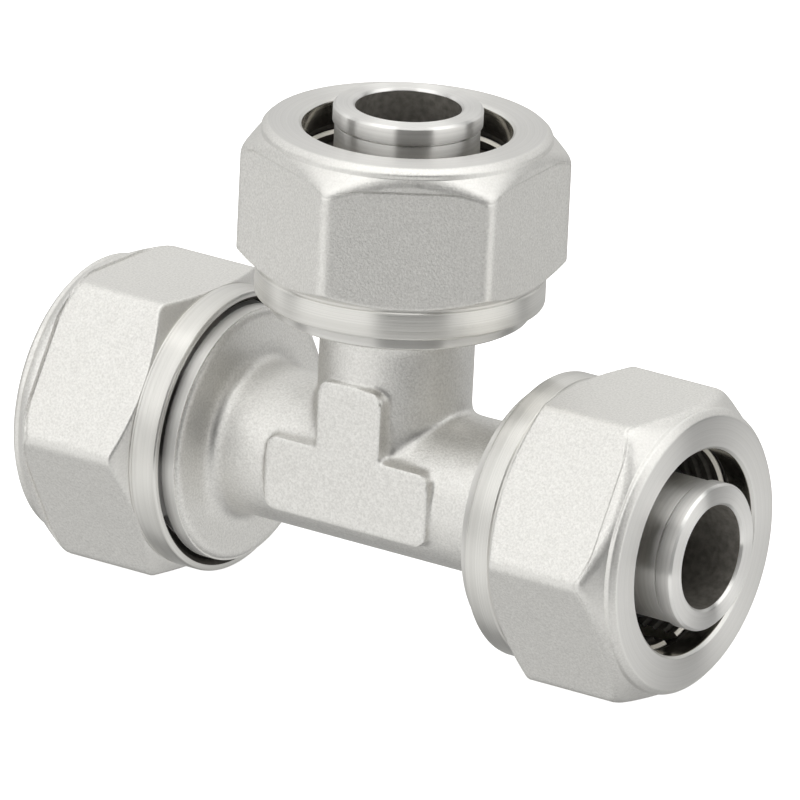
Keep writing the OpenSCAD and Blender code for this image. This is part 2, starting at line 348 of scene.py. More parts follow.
def rounded_hexagon(angle, flat):
    """Radius of a hexagon with rounded edges, at an angle from the middle of a flat."""
    off, half = off_flat(angle), math.radians(30)
    if off < math.atan((flat - hex_edge) * math.tan(half) / flat):
        return flat / math.cos(off)
    centre, turn = (flat - hex_edge) / math.cos(half), half - off
    return centre * math.cos(turn) + math.sqrt(hex_edge ** 2 - (centre * math.sin(turn)) ** 2)


def ledge_height(angle):
    """Height of the forged ledge, which bends back near the corners of the hexagon."""
    across = flat_r * math.tan(off_flat(angle))
    return nut_front - ledge_back - 0.12 * max(0.0, across / MM - 3.4) ** 1.6 * MM


def press_hexagon(nut, turn):
    """Pushes the outside in to the hexagon, with the ledge and the thin line behind it."""
    for vertex in nut.data.vertices:
        x, y, z = vertex.co
        r = math.hypot(x, y)
        if r < skirt_r - 0.2 * MM or not hex_back - 0.01 * MM < z < hex_front + 0.1 * MM:
            continue
        angle = math.atan2(y, x) - math.radians(turn)
        ledge = ledge_height(angle)
        front = smooth_step(ledge - 0.03 * MM, ledge + 0.03 * MM, z)
        line = ledge_line_depth * smooth_step(ledge - ledge_line_width, ledge - 0.05 * MM, z) * (1 - front)
        flat = flat_r - ledge_depth * (1 - front) - line
        new_r = smooth_minimum(r, rounded_hexagon(angle, flat), (0.16 + 0.5 * front) * MM)
        vertex.co.x *= new_r / r
        vertex.co.y *= new_r / r


print("hexagon from", round(hex_back / MM, 2), "to", round(hex_front / MM, 2), "mm, corner radius",
      round(rounded_hexagon(math.radians(30), flat_r) / MM, 2))


# %% Nut section
def with_rows(outline, low, high, spacing):
    """Adds points to the long outer stretches of an outline, so that they can be pressed."""
    rows = []
    for i, here in enumerate(outline):
        rows.append(here)
        there = outline[(i + 1) % len(outline)]
        outer = min(here[0], there[0]) > skirt_r - 0.02 * MM
        if outer and low < (here[1] + there[1]) / 2 < high:
            count = int((Vector(there) - Vector(here)).length / spacing)
            rows += [Vector(here).lerp(Vector(there), k / (count + 1)) for k in range(1, count + 1)]
    return rows


blank_r = corner_r + 0.2 * MM
relief_r = ring_r + 0.4 * MM
seat_front = ring_front + (seat_r - opening_r) / cone_slope
seat_back = ring_front - (relief_r - seat_r) / cone_slope
thread_end = hub_end + 0.6 * MM
fine_rows_from = nut_front - 3.2 * MM
nut_section = softened([
    (nut_root + 0.4 * MM, skirt_end, 0.08 * MM), (skirt_r, skirt_end, 0.28 * MM),
    (skirt_r, hex_back - 0.32 * MM, 0.05 * MM), (skirt_r - 0.12 * MM, hex_back - 0.22 * MM, 0.05 * MM),
    (skirt_r - 0.12 * MM, hex_back - 0.02 * MM, 0.05 * MM), (skirt_r + 0.02 * MM, hex_back, 0.1 * MM),
    (blank_r, hex_back + 1.05 * MM, 0.7 * MM), (blank_r, nut_front - 2.6 * MM, 2.2 * MM),
    (skirt_r, hex_front, 0.12 * MM), (skirt_r, nut_front - 0.45 * MM, 0.3 * MM),
    (skirt_r - 0.5 * MM, nut_front, 0.35 * MM), (opening_r + 0.25 * MM, nut_front, 0.15 * MM),
    (opening_r, nut_front - 0.25 * MM, 0.12 * MM), (opening_r, seat_front, 0.1 * MM),
    (relief_r, seat_back, 0.1 * MM), (relief_r, thread_end, 0.05 * MM),
    (nut_root, thread_end, 0.05 * MM), (nut_root, skirt_end + 0.4 * MM, 0.05 * MM)])
nut_section = with_rows(nut_section, hex_back, fine_rows_from, 0.25 * MM)
nut_section = with_rows(nut_section, fine_rows_from, hex_front, 0.05 * MM)
print("nut section:", len(nut_section), "points")


# %% Nuts
def make_nut(name, turn):
    nut = turned(name, nut_section, steps=360)
    press_hexagon(nut, turn)
    ridge = thread_ridge(name + "_thread", skirt_end + 0.4 * MM, thread_end, nut_root, nut_crest, 0.5)
    combine(nut, ridge, "UNION")
    tidy_mesh(nut, merge=0.0005 * MM)
    return nut


def mark_flats(nut, turn):
    """Stores how much of the forging's grain shows: all of it on the flats, less on the rest
    of the hexagon and on the collar, and none on the turned skirt, face and bore."""
    grain = nut.data.attributes.new("grain", "FLOAT", "POINT")
    for vertex, value in zip(nut.data.vertices, grain.data):
        x, y, z = vertex.co
        r, angle = math.hypot(x, y), math.atan2(y, x) - math.radians(turn)
        depth = abs(r * math.cos(off_flat(angle)) - flat_r + ledge_depth / 2)
        on_flat = 1 - 0.45 * smooth_step(0.1 * MM, 0.25 * MM, depth)
        outside = r > skirt_r - 0.55 * MM
        value.value = on_flat * smooth_step(hex_back - 0.1 * MM, hex_back + 0.1 * MM, z) if outside else 0.0


# How far each nut was turned when it was tightened, in degrees
run_turn, top_turn = 0, 5.4
nuts = {}
run_nut = make_nut("run_nut", run_turn)
mark_flats(run_nut, run_turn)
for branch in ("left", "right"):
    nuts[branch] = copy_of(run_nut, branch + "_nut_turned")
bpy.data.objects.remove(run_nut)
nuts["top"] = make_nut("top_nut_turned", top_turn)
mark_flats(nuts["top"], top_turn)
for branch, nut in nuts.items():
    place_on_branch(nut, branch)
print("nuts:", {branch: len(nut.data.polygons) for branch, nut in nuts.items()})

# %% [markdown]
# ## The forging
#
# Necks, hub backs and the raised T are one forging, so they run into each other in soft
# fillets. Simple solids are laid over each other and the voxel remesh fuses them into one skin
# of small even faces. A Smooth modifier, weighted along the two curves where the branch meets
# the run, then sinks a fillet there, and a light pass over everything takes the grid off it.

# %% Helpers for the forging
def solid_cylinder(name, radius, low, high, along, vertices=160):
    start_clean()
    middle = (low + high) / 2
    bpy.ops.mesh.primitive_cylinder_add(
        vertices=vertices, radius=radius, depth=high - low,
        location=(middle, 0, 0) if along == "X" else (0, 0, middle),
        rotation=(0, math.radians(90), 0) if along == "X" else (0, 0, 0))
    piece = bpy.context.object
    piece.name = name
    bpy.ops.object.transform_apply(location=True, rotation=True, scale=True)
    return piece


def join(pieces, name):
    activate(pieces[0])
    for other in pieces:
        other.select_set(True)
    bpy.ops.object.join()
    bpy.context.object.name = bpy.context.object.data.name = name
    return bpy.context.object


def pad_bar(name, low, high):
    """One bar of the raised T, from its lowest to its highest corner, with rounded ends."""
    start_clean()
    bpy.ops.mesh.primitive_cube_add(size=1, location=(low + high) / 2, scale=high - low)
    bar = bpy.context.object
    bar.name = name
    bpy.ops.object.transform_apply(location=True, rotation=True, scale=True)
    bpy.ops.object.mode_set(mode="EDIT")
    bpy.ops.mesh.select_all(action="DESELECT")
    mesh = bmesh.from_edit_mesh(bar.data)
    for edge in mesh.edges:
        edge.select_set(abs(edge.verts[0].co.y - edge.verts[1].co.y) > 1 * MM)
    bmesh.update_edit_mesh(bar.data)
    bpy.ops.mesh.bevel(offset=1.1 * MM, segments=8, affect="EDGES")
    bpy.ops.object.mode_set(mode="OBJECT")
    return bar


hub_land_r = hub_crest - 0.05 * MM
slab_front = hub_back + 0.68 * MM
hub_fillet = 1.5 * MM
pad_face = neck_r + 0.35 * MM
pad_half_width, run_reach, branch_reach = 3.05 * MM, 7.8 * MM, 8.75 * MM
print("raised T:", round(2 * run_reach / MM, 1), "mm wide,", round(2 * pad_half_width / MM, 1), "mm bars")

# %% Solids of the forging
slab = turned("hub_back_slab", softened([
    (3 * MM, hub_back - 2.5 * MM, 0), (neck_r + 0.002 * MM, hub_back - 2.5 * MM, 0),
    (neck_r + 0.002 * MM, hub_back, hub_fillet), (hub_land_r - 0.4 * MM, hub_back + 0.15 * MM, 0.25 * MM),
    (hub_land_r - 0.06 * MM, hub_back + 0.5 * MM, 0.1 * MM), (hub_land_r - 0.06 * MM, slab_front, 0),
    (3 * MM, slab_front, 0)], steps=8))
solids = [solid_cylinder("run_neck", neck_r, -slab_front, slab_front, "X"),
          solid_cylinder("branch_neck", neck_r, 0, slab_front, "Z"),
          pad_bar("run_bar", Vector((-run_reach, -pad_face, -pad_half_width)),
                  Vector((run_reach, pad_face, pad_half_width))),
          pad_bar("branch_bar", Vector((-pad_half_width, -pad_face, -pad_half_width)),
                  Vector((pad_half_width, pad_face, branch_reach)))]
for branch in BRANCHES:
    solids.append(copy_of(slab, "slab_" + branch))
    place_on_branch(solids[-1], branch)
bpy.data.objects.remove(slab)
print("solids:", len(solids))

# %% Forging
forging = join(solids, "tee_forging")
apply_modifier(forging, "REMESH", mode="VOXEL", voxel_size=0.2 * MM, adaptivity=0)
crotch = forging.vertex_groups.new(name="crotch")
for vertex in forging.data.vertices:
    x, y, z = vertex.co
    off_curve = abs(abs(x) - z) / 1.41
    weight = max(0.0, 1 - off_curve / (2.2 * MM)) if z > 1.5 * MM and abs(y) < pad_face - 0.25 * MM else 0.0
    crotch.add([vertex.index], min(1.0, 1.5 * weight), "REPLACE")
fillets = forging.vertex_groups.new(name="fillets")
for vertex in forging.data.vertices:
    x, y, z = vertex.co
    along = max(abs(x), z)
    off_axis = math.hypot(y, z) if along == abs(x) else math.hypot(x, y)
    weight = smooth_step(hub_back - 3.2 * MM, hub_back - 2.2 * MM, along) * (
        1 - smooth_step(neck_r + 1.6 * MM, neck_r + 2.6 * MM, off_axis))
    fillets.add([vertex.index], weight, "REPLACE")
apply_modifier(forging, "SMOOTH", factor=0.5, iterations=70, vertex_group="crotch")
apply_modifier(forging, "SMOOTH", factor=0.5, iterations=40, vertex_group="fillets")
apply_modifier(forging, "SMOOTH", factor=0.5, iterations=3)
forging.vertex_groups.clear()
print("forging:", len(forging.data.polygons), "faces")

# %% [markdown]
# ## The turned noses of the body
#
# After forging, each hub was turned: a plain land that shows behind the nut, the thread, the
# socket for the tail and a cone in its mouth for the clamp ring. The nose is turned once with
# its thread, copied onto the three branches, and joined to the bored forging.

# %% Tee body
mouth_r = seat_r + cone_slope * 0.5 * MM
spigot_bore_r = 6.0 * MM
nose_back = slab_front - 0.25 * MM
nose = turned("hub_nose", softened([
    (spigot_bore_r, nose_back, 0), (hub_land_r, nose_back, 0.05 * MM),
    (hub_land_r, thread_start, 0.1 * MM), (hub_root, thread_start + 0.1 * MM, 0.1 * MM),
    (hub_root, hub_end, 0.1 * MM), (mouth_r, hub_end, 0.03 * MM),
    (socket_r, hub_end - (mouth_r - socket_r) / cone_slope, 0.05 * MM),
    (socket_r, socket_floor, 0.1 * MM), (spigot_bore_r, socket_floor, 0.05 * MM)]), steps=144)
combine(nose, thread_ridge("nose_thread", thread_start, hub_end, hub_root, hub_crest), "UNION")

body = forging
combine(body, solid_cylinder("run_bore", water_r, -hub_end, hub_end, "X", 96), "DIFFERENCE")
combine(body, solid_cylinder("branch_bore", water_r, 0, hub_end, "Z", 96), "DIFFERENCE")
for branch in BRANCHES:
    part = copy_of(nose, "nose_" + branch)
    place_on_branch(part, branch)
    combine(body, part, "UNION")
bpy.data.objects.remove(nose)
body.name = body.data.name = "tee_body_forged"
tidy_mesh(body, merge=0.0005 * MM)
print("body:", len(body.data.polygons), "faces")

# %% [markdown]
# ## The hose tail
#
# The tail is turned from bar. Its spigot is pressed into the socket's floor with a small seal
# round it, its shoulder seats there, and its land carries two O-rings in grooves. The end has a
# lip a little thicker than the land, with a narrow groove behind it that shows as a dark line,
# and a bevel that leads the pipe on.

# %% Tail inserts
def grooves_along(radius, places):
    """Outline points of square grooves: places are (middle, width, floor radius)."""
    points = []
    for middle, width, floor in places:
        points += [(radius, middle - width / 2), (floor, middle - width / 2),
                   (floor, middle + width / 2), (radius, middle + width / 2)]
    return points


shoulder_back, shoulder_front = socket_floor + 0.02 * MM, socket_floor + 0.8 * MM
spigot_r, seal_at, seal_cord, seal_floor = 5.98 * MM, socket_floor - 1.1 * MM, 0.9 * MM, 5.06 * MM
o_cord, o_floor = 1.1 * MM, 5.0 * MM
o_places = {"inner": washer_high + 3.0 * MM, "outer": washer_high + 6.4 * MM}
lip_length, lip_bevel = 1.4 * MM, 0.2 * MM
lip_back = tail_end - lip_length
lip_groove_r = land_r - 0.25 * MM
tail_outline = [(water_r, spigot_end, 0.1 * MM), (spigot_r, spigot_end, 0.25 * MM)]
tail_outline += grooves_along(spigot_r, [(seal_at, 1.25 * seal_cord, seal_floor)])
tail_outline += [(spigot_r, shoulder_back), (shoulder_r, shoulder_back), (shoulder_r, shoulder_front),
                 (land_r, shoulder_front)]
tail_outline += grooves_along(land_r, [(place, 1.25 * o_cord, o_floor) for place in o_places.values()])
tail_outline += [
    (land_r, lip_back - 0.24 * MM, 0.03 * MM), (lip_groove_r, lip_back - 0.22 * MM, 0.03 * MM),
    (lip_groove_r, lip_back - 0.04 * MM, 0.03 * MM), (lip_r, lip_back, 0.03 * MM),
    (lip_r, tail_end - lip_bevel, 0.08 * MM), (lip_r - lip_bevel, tail_end, 0.08 * MM),
    (water_r + 0.2 * MM, tail_end, 0.1 * MM), (water_r, tail_end - 0.2 * MM, 0.1 * MM)]
tail = turned("tail", softened(tail_outline, radius=0.05 * MM), steps=192)
tails = {}
for branch in BRANCHES:
    tails[branch] = copy_of(tail, branch + "_tail_turned")
    place_on_branch(tails[branch], branch)
bpy.data.objects.remove(tail)
print("tail:", len(tails["top"].data.polygons), "faces, ends at", round(tail_end / MM, 2))

# %% [markdown]
# ## Clamp ring, seals and washer
#
# The clamp ring is turned with a cone at each end, gripping grooves inside and a chamfer at its
# front, which catches the light inside the nut. It is then sawn through once, so that the nut
# can squeeze it round the pipe. Spinning the section through less than a full turn leaves the
# slit. The seals are moulded: a round cord with the fine flash line
# that a mould leaves round its waist. The washer is a plain turned ring of white plastic.

# %% Small rings
ring_bore, grip = 8.15 * MM, 0.25 * MM
cone_length = (ring_r - ring_end_r) / cone_slope
grip_step = (ring_front - ring_back) / 5
ring_outline = [(ring_bore, ring_back, 0.06 * MM), (ring_end_r, ring_back, 0.06 * MM),
                (ring_r, ring_back + cone_length, 0.15 * MM), (ring_r, ring_front - cone_length, 0.15 * MM),
                (ring_end_r, ring_front, 0.06 * MM), (ring_bore + grip, ring_front, 0.06 * MM),
                (ring_bore, ring_front - grip, 0.06 * MM)]
for k in (4, 3, 2, 1):
    middle = ring_back + k * grip_step
    ring_outline += [(ring_bore, middle + grip, 0.02 * MM), (ring_bore + grip, middle, 0.02 * MM),
                     (ring_bore, middle - grip, 0.02 * MM)]


def cord_outline(floor, cord, at):
    """Round section of a seal just off its groove's floor, with its flash line in and out."""
    middle, points = floor + 0.02 * MM + cord / 2, []
    for k in range(32):
        angle = math.tau * (k + 0.5) / 32
        points.append((middle + cord / 2 * math.cos(angle), at + cord / 2 * math.sin(angle)))
        if k in (15, 31):
            edge = middle + (cord / 2 + 0.03 * MM) * (1 if k == 31 else -0.995)
            points.append((edge, at))
    return points


# Outline, steps round the axis and angle left open of each kind
small_rings = {
    "clamp_ring": (ring_outline, 160, 1.6 * MM / ring_r),
    "insert_seal": (cord_outline(seal_floor, seal_cord, seal_at), 96, 0),
    "inner_o_ring": (cord_outline(o_floor, o_cord, o_places["inner"]), 128, 0),
    "outer_o_ring": (cord_outline(o_floor, o_cord, o_places["outer"]), 128, 0),
    "washer": ([(land_r + 0.04 * MM, washer_low), (shoulder_r, washer_low),
                (shoulder_r, washer_high), (land_r + 0.04 * MM, washer_high)], 128, 0)}
rings = {}
for kind, (outline, steps, gap) in small_rings.items():
    seal = kind.endswith(("seal", "o_ring"))
    model = turned(kind, outline if seal else softened(outline, radius=0.1 * MM), steps, gap)
    for branch in BRANCHES:
        rings[branch, kind] = copy_of(model, branch + "_" + kind + "_made")
        place_on_branch(rings[branch, kind], branch)
    bpy.data.objects.remove(model)
print("small rings:", len(rings))

# %% [markdown]
# ## Finishes
#
# All the metal is nickel: the forged skin was blasted before plating, so it has a fine grain,
# and the turned surfaces keep the tool's lines under the plating. Both are drawn from the Object
# coordinates with a few short helpers: each adds one node and links it.

# %% Helpers for finishes
def new_material(name):
    material = bpy.data.materials.new(name)
    material.use_nodes = True
    tree = material.node_tree
    return material, tree, tree.nodes["Principled BSDF"]


def add(tree, kind, **values):
    node = tree.nodes.new(kind)
    for key, value in values.items():
        if hasattr(node, key):
            setattr(node, key, value)
        else:
            node.inputs[key.replace("_", " ")].default_value = value
    return node


def noise(tree, coordinates, scale, detail=2.0, roughness=0.5):
    node = add(tree, "ShaderNodeTexNoise", Scale=scale, Detail=detail, Roughness=roughness)
    tree.links.new(coordinates, node.inputs["Vector"])
    return node.outputs["Fac"]


def remap(tree, value, low, high):
    node = add(tree, "ShaderNodeMapRange")
    node.inputs["To Min"].default_value, node.inputs["To Max"].default_value = low, high
    tree.links.new(value, node.inputs["Value"])
    return node.outputs["Result"]


def bump(tree, height, distance, under=None):
    node = add(tree, "ShaderNodeBump", Distance=distance)
    tree.links.new(height, node.inputs["Height"])
    if under:
        tree.links.new(under, node.inputs["Normal"])
    return node.outputs["Normal"]


def mix_number(tree, factor, first, second):
    node = add(tree, "ShaderNodeMix", data_type="FLOAT")
    tree.links.new(factor, node.inputs["Factor"])
    for value, socket in ((first, node.inputs["A"]), (second, node.inputs["B"])):
        if isinstance(value, (int, float)):
            socket.default_value = value
        else:
            tree.links.new(value, socket)
    return node.outputs["Result"]


def tinted(tree, value, dark, light):
    node = add(tree, "ShaderNodeValToRGB")
    node.color_ramp.elements[0].color, node.color_ramp.elements[1].color = (*dark, 1), (*light, 1)
    node.color_ramp.elements[0].position, node.color_ramp.elements[1].position = 0.3, 0.7
    tree.links.new(value, node.inputs["Fac"])
    return node.outputs["Color"]


print("a finish starts from", len(bpy.data.materials), "materials of the CAD model")


# %% [markdown]
# ### Blasted nickel
#
# Blasting leaves pits of about a fifth of a millimetre, which show as a fine sparkle, over
# softer waves of the forging itself. One noise gives the pits to both the colour and the bump.

# %% Blasted nickel
def forged_nickel(name):
    material, tree, shader = new_material(name)
    place = add(tree, "ShaderNodeTexCoord").outputs["Object"]
    shader.inputs["Metallic"].default_value = 1
    pits = noise(tree, place, 5600, 3, 0.62)
    colour = tinted(tree, pits, (0.70, 0.69, 0.665), (0.90, 0.89, 0.865))
    tree.links.new(colour, shader.inputs["Base Color"])
    tree.links.new(remap(tree, noise(tree, place, 900, 4), 0.36, 0.52), shader.inputs["Roughness"])
    soft = bump(tree, noise(tree, place, 700, 2), 0.02 * MM)
    tree.links.new(bump(tree, pits, 0.03 * MM, under=soft), shader.inputs["Normal"])
    return material


forged = forged_nickel("forged_nickel")
print("made", forged.name)


# %% [markdown]
# ### Turned nickel
#
# A turned piece's lines follow its radius and its height along the axis, so those two numbers
# are worked out first and a noise is read at them, which makes perfect rings. The finest lines
# are too small to draw, but they draw a highlight out across themselves, so that a turned band
# shows sharp bright and dark streaks along its axis. The shader's anisotropy does that, along a
# tangent that lies in the surface and crosses the lines.

# %% Coordinates of a turned piece
def ring_coordinates(tree, along):
    """Radius and height of a turned piece whose axis is X or Z, as a vector."""
    place = add(tree, "ShaderNodeTexCoord").outputs["Object"]
    parts = add(tree, "ShaderNodeSeparateXYZ")
    tree.links.new(place, parts.inputs[0])
    flat = add(tree, "ShaderNodeCombineXYZ")
    first, second, height = ("Y", "Z", "X") if along == "X" else ("X", "Y", "Z")
    tree.links.new(parts.outputs[first], flat.inputs["X"])
    tree.links.new(parts.outputs[second], flat.inputs["Y"])
    radius = add(tree, "ShaderNodeVectorMath", operation="LENGTH")
    tree.links.new(flat.outputs[0], radius.inputs[0])
    both = add(tree, "ShaderNodeCombineXYZ")
    tree.links.new(radius.outputs["Value"], both.inputs["X"])
    tree.links.new(parts.outputs[height], both.inputs["Y"])
    return place, both.outputs[0]


def across_the_lines(tree, along, place):
    """Direction that lies in the surface and crosses the turning lines."""
    round_it = add(tree, "ShaderNodeVectorMath", operation="CROSS_PRODUCT")
    round_it.inputs[1].default_value = (1, 0, 0) if along == "X" else (0, 0, 1)
    tree.links.new(place, round_it.inputs[0])
    turned_with_piece = add(tree, "ShaderNodeVectorTransform", vector_type="VECTOR",
                            convert_from="OBJECT", convert_to="WORLD")
    tree.links.new(round_it.outputs[0], turned_with_piece.inputs[0])
    across = add(tree, "ShaderNodeVectorMath", operation="CROSS_PRODUCT")
    tree.links.new(turned_with_piece.outputs[0], across.inputs[0])
    tree.links.new(add(tree, "ShaderNodeNewGeometry").outputs["Normal"], across.inputs[1])
    straight = add(tree, "ShaderNodeVectorMath", operation="NORMALIZE")
    tree.links.new(across.outputs[0], straight.inputs[0])
    return straight.outputs[0]


print("helpers for lines round the axes X and Z")


# %% Turned nickel
def turned_nickel(name, along, dark, light, gloss, line_depth, stretch=0):
    """stretch is how far a highlight is drawn out across the fine lines, from 0 to 1."""
    material, tree, shader = new_material(name)
    place, rings_at = ring_coordinates(tree, along)
    shader.inputs["Metallic"].default_value = 1
    if stretch:
        shader.inputs["Anisotropic"].default_value = stretch
        tree.links.new(across_the_lines(tree, along, place), shader.inputs["Tangent"])
    colour = tinted(tree, noise(tree, rings_at, 5000, 3, 0.7), dark, light)
    tree.links.new(colour, shader.inputs["Base Color"])
    lines = noise(tree, rings_at, 9000, 2, 0.6)
    tree.links.new(remap(tree, noise(tree, rings_at, 3000, 3), *gloss), shader.inputs["Roughness"])
    wide = bump(tree, noise(tree, rings_at, 2600, 2), line_depth * 1.6)
    fine = bump(tree, lines, line_depth, under=wide)
    tree.links.new(fine, shader.inputs["Normal"])
    return material


axis_of = {"left": "X", "right": "X", "top": "Z"}
nose_finish = {a: turned_nickel("nose_nickel_" + a, a, (0.80, 0.79, 0.76), (0.87, 0.86, 0.84),
                                (0.36, 0.46), 0.004 * MM, 1) for a in "XZ"}
tail_finish = {a: turned_nickel("turned_nickel_" + a, a, (0.84, 0.83, 0.81), (0.94, 0.93, 0.91),
                                (0.30, 0.38), 0.003 * MM, 1) for a in "XZ"}
ring_finish = {a: turned_nickel("ring_nickel_" + a, a, (0.82, 0.79, 0.72), (0.92, 0.89, 0.82),
                                (0.42, 0.52), 0.004 * MM) for a in "XZ"}
face_finish = {a: turned_nickel("nut_face_" + a, a, (0.76, 0.75, 0.73), (0.84, 0.83, 0.81),
                                (0.30, 0.40), 0.002 * MM, 0.9) for a in "XZ"}
wall_finish = {a: turned_nickel("nut_wall_" + a, a, (0.40, 0.385, 0.35), (0.52, 0.50, 0.46),
                                (0.12, 0.22), 0.003 * MM) for a in "XZ"}
skirt_finish = {a: turned_nickel("nut_skirt_" + a, a, (0.68, 0.67, 0.64), (0.88, 0.87, 0.84),
                                 (0.30, 0.42), 0.012 * MM, 0.85) for a in "XZ"}
turned_finishes = (nose_finish, tail_finish, ring_finish, face_finish, wall_finish, skirt_finish)
print("turned finishes:", sum(len(finish) for finish in turned_finishes))


# %% [markdown]
# ### The nuts' outside
#
# A nut shows the forging's grain on its flats, a little less of it on the shoulder and collar,
# and turning lines elsewhere. The mesh's grain attribute mixes the two, so no seam shows.

# %% Nut nickel
def nut_nickel(name, along):
    """Turned all over, with the forging's grain where the mesh's grain attribute says."""
    material, tree, shader = new_material(name)
    place, rings_at = ring_coordinates(tree, along)
    share = add(tree, "ShaderNodeAttribute", attribute_name="grain").outputs["Fac"]
    shader.inputs["Metallic"].default_value = 1
    pits = noise(tree, place, 5600, 3, 0.62)
    height = mix_number(tree, share, remap(tree, noise(tree, rings_at, 6000, 2), 0.40, 0.60), pits)
    colour = tinted(tree, height, (0.71, 0.70, 0.675), (0.90, 0.89, 0.865))
    tree.links.new(colour, shader.inputs["Base Color"])
    rough = mix_number(tree, share, remap(tree, noise(tree, rings_at, 3000, 3), 0.36, 0.48),
                       remap(tree, noise(tree, place, 900, 4), 0.40, 0.54))
    tree.links.new(rough, shader.inputs["Roughness"])
    soft = bump(tree, noise(tree, place, 500, 2), 0.02 * MM)
    tree.links.new(bump(tree, height, 0.03 * MM, under=soft), shader.inputs["Normal"])
    return material


nut_finish = {a: nut_nickel("nut_nickel_" + a, a) for a in "XZ"}
print("made", [finish.name for finish in nut_finish.values()])


# %% [markdown]
# ### Inside surfaces, rubber and plastic
#
# The inside surfaces are dull, and their colour is painted dark as the shade that falls inside.
# Rubber and plastic are moulded: a fine even grain and no lines.

# %% Inside surfaces, rubber and plastic
def moulded(name, dark, light, gloss, grain_scale, depth):
    material, tree, shader = new_material(name)
    place = add(tree, "ShaderNodeTexCoord").outputs["Object"]
    tree.links.new(tinted(tree, noise(tree, place, 900, 3), dark, light), shader.inputs["Base Color"])
    tree.links.new(remap(tree, noise(tree, place, 2500, 3), *gloss), shader.inputs["Roughness"])
    tree.links.new(bump(tree, noise(tree, place, grain_scale, 3), depth), shader.inputs["Normal"])
    return material


def inside_with_painted_shade(name, dark, light):
    """Inside surfaces: dull brass with tool marks, its colour painted dark as the shade that falls inside."""
    material, tree, shader = new_material(name)
    place = add(tree, "ShaderNodeTexCoord").outputs["Object"]
    shader.inputs["Metallic"].default_value = 0.5
    tree.links.new(tinted(tree, noise(tree, place, 1800, 4), dark, light), shader.inputs["Base Color"])
    tree.links.new(remap(tree, noise(tree, place, 2500, 3), 0.40, 0.60), shader.inputs["Roughness"])
    tree.links.new(bump(tree, noise(tree, place, 3000, 3), 0.01 * MM), shader.inputs["Normal"])
    return material


# The bores' colours are painted dark: they stand for the shade inside the nuts, clamp rings and tails.
bore_painted_shade = inside_with_painted_shade("dull_bore", (0.050, 0.046, 0.040), (0.085, 0.078, 0.068))
tail_bore_painted_shade = inside_with_painted_shade("tail_bore", (0.15, 0.14, 0.125), (0.27, 0.255, 0.23))
rubber = moulded("black_rubber", (0.012, 0.012, 0.012), (0.024, 0.024, 0.023), (0.45, 0.62), 6000, 0.006 * MM)
ptfe = moulded("white_ptfe", (0.80, 0.80, 0.78), (0.90, 0.90, 0.88), (0.35, 0.5), 4000, 0.005 * MM)
print("materials:", len(bpy.data.materials))


# %% [markdown]
# ## Giving the pieces their finishes
#
# Where a piece has more than one finish, its faces are told apart by their place: how far along
# the branch they are, how far off its axis, and whether they look at the axis.

# %% Which face has which finish
def paint_inside_shade(piece, branch, low, high, widest):
    """Gives the second material, with its painted shade, to the faces that look at the axis between two
    heights.
    """
    for face in piece.data.polygons:
        centre, normal = face.center, face.normal
        if branch == "top":
            along, outward = centre.z, Vector((centre.x, centre.y, 0))
        else:
            along, outward = abs(centre.x), Vector((0, centre.y, centre.z))
        inward = normal.dot(outward) < -0.3 * outward.length and outward.length < widest
        face.material_index = 1 if inward and low < along < high else 0


def front_finish(nut, branch):
    """Gives the opening's wall, the flat front face and the skirt their own materials."""
    for face in nut.data.polygons:
        centre, along = face.center, face.center.z if branch == "top" else abs(face.center.x)
        off_axis = math.hypot(centre.x if branch == "top" else centre.z, centre.y)
        if along > seat_front + 0.05 * MM and off_axis < opening_r + 0.05 * MM:
            face.material_index = 2
        elif along > nut_front - 0.03 * MM:
            face.material_index = 3
        elif along < hex_back - 0.02 * MM and off_axis > skirt_r - 0.5 * MM:
            face.material_index = 4


def dress(piece, *materials):
    piece.data.materials.clear()
    for material in materials:
        piece.data.materials.append(material)


print("faces of the body to tell apart:", len(body.data.polygons))

# %% Dress the pieces
# The body is turned on its noses and in its bores, and forged elsewhere
dress(body, forged, nose_finish["X"], nose_finish["Z"])
for face in body.data.polygons:
    x, y, z = face.center
    along = max(abs(x), z)
    off_axis = math.hypot(y, z) if along == abs(x) else math.hypot(x, y)
    if along > hub_back + 0.5 * MM or off_axis < water_r + 0.05 * MM:
        face.material_index = 1 if along == abs(x) else 2
    else:
        face.material_index = 0
# The second material of each nut, tail and clamp ring is its bore colour with painted shade.
for branch, a in axis_of.items():
    dress(nuts[branch], nut_finish[a], bore_painted_shade, wall_finish[a], face_finish[a], skirt_finish[a])
    paint_inside_shade(nuts[branch], branch, 0, seat_front + 0.05 * MM, 12 * MM)
    front_finish(nuts[branch], branch)
    dress(tails[branch], tail_finish[a], tail_bore_painted_shade)
    paint_inside_shade(tails[branch], branch, 0, tail_end - 0.25 * MM, water_r + 0.1 * MM)
    dress(rings[branch, "clamp_ring"], ring_finish[a], bore_painted_shade)
    paint_inside_shade(rings[branch, "clamp_ring"], branch, 0, ring_front - grip, 8.6 * MM)
    dress(rings[branch, "washer"], ptfe)
    for kind in ("insert_seal", "inner_o_ring", "outer_o_ring"):
        dress(rings[branch, kind], rubber)
for piece in [body, *nuts.values(), *tails.values(), *rings.values()]:
    shade(piece, 40)
print("dressed:", 1 + len(nuts) + len(tails) + len(rings))

# %% [markdown]
# ## Riding on the bodies
#
# Each finished piece stands for its CAD node and rides on that node's body. The clamp ring
# slides with its nut, and the nut turns on the ring.

# %% Ride and replace
def settle(piece, node, rides_on):
    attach(piece, rides_on)
    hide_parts(node)


settle(body, "tee_body", "tee")
for branch in BRANCHES:
    settle(nuts[branch], branch + "_nut", branch + "_nut")
    settle(tails[branch], branch + "_tail_insert", "tee")
    settle(rings[branch, "clamp_ring"], branch + "_clamp_ring", branch + "_ring")
    settle(rings[branch, "washer"], branch + "_washer", "tee")
    for kind in ("insert_seal", "inner_o_ring", "outer_o_ring"):
        settle(rings[branch, kind], branch + "_" + kind, "tee")
print("settled all 22 nodes")

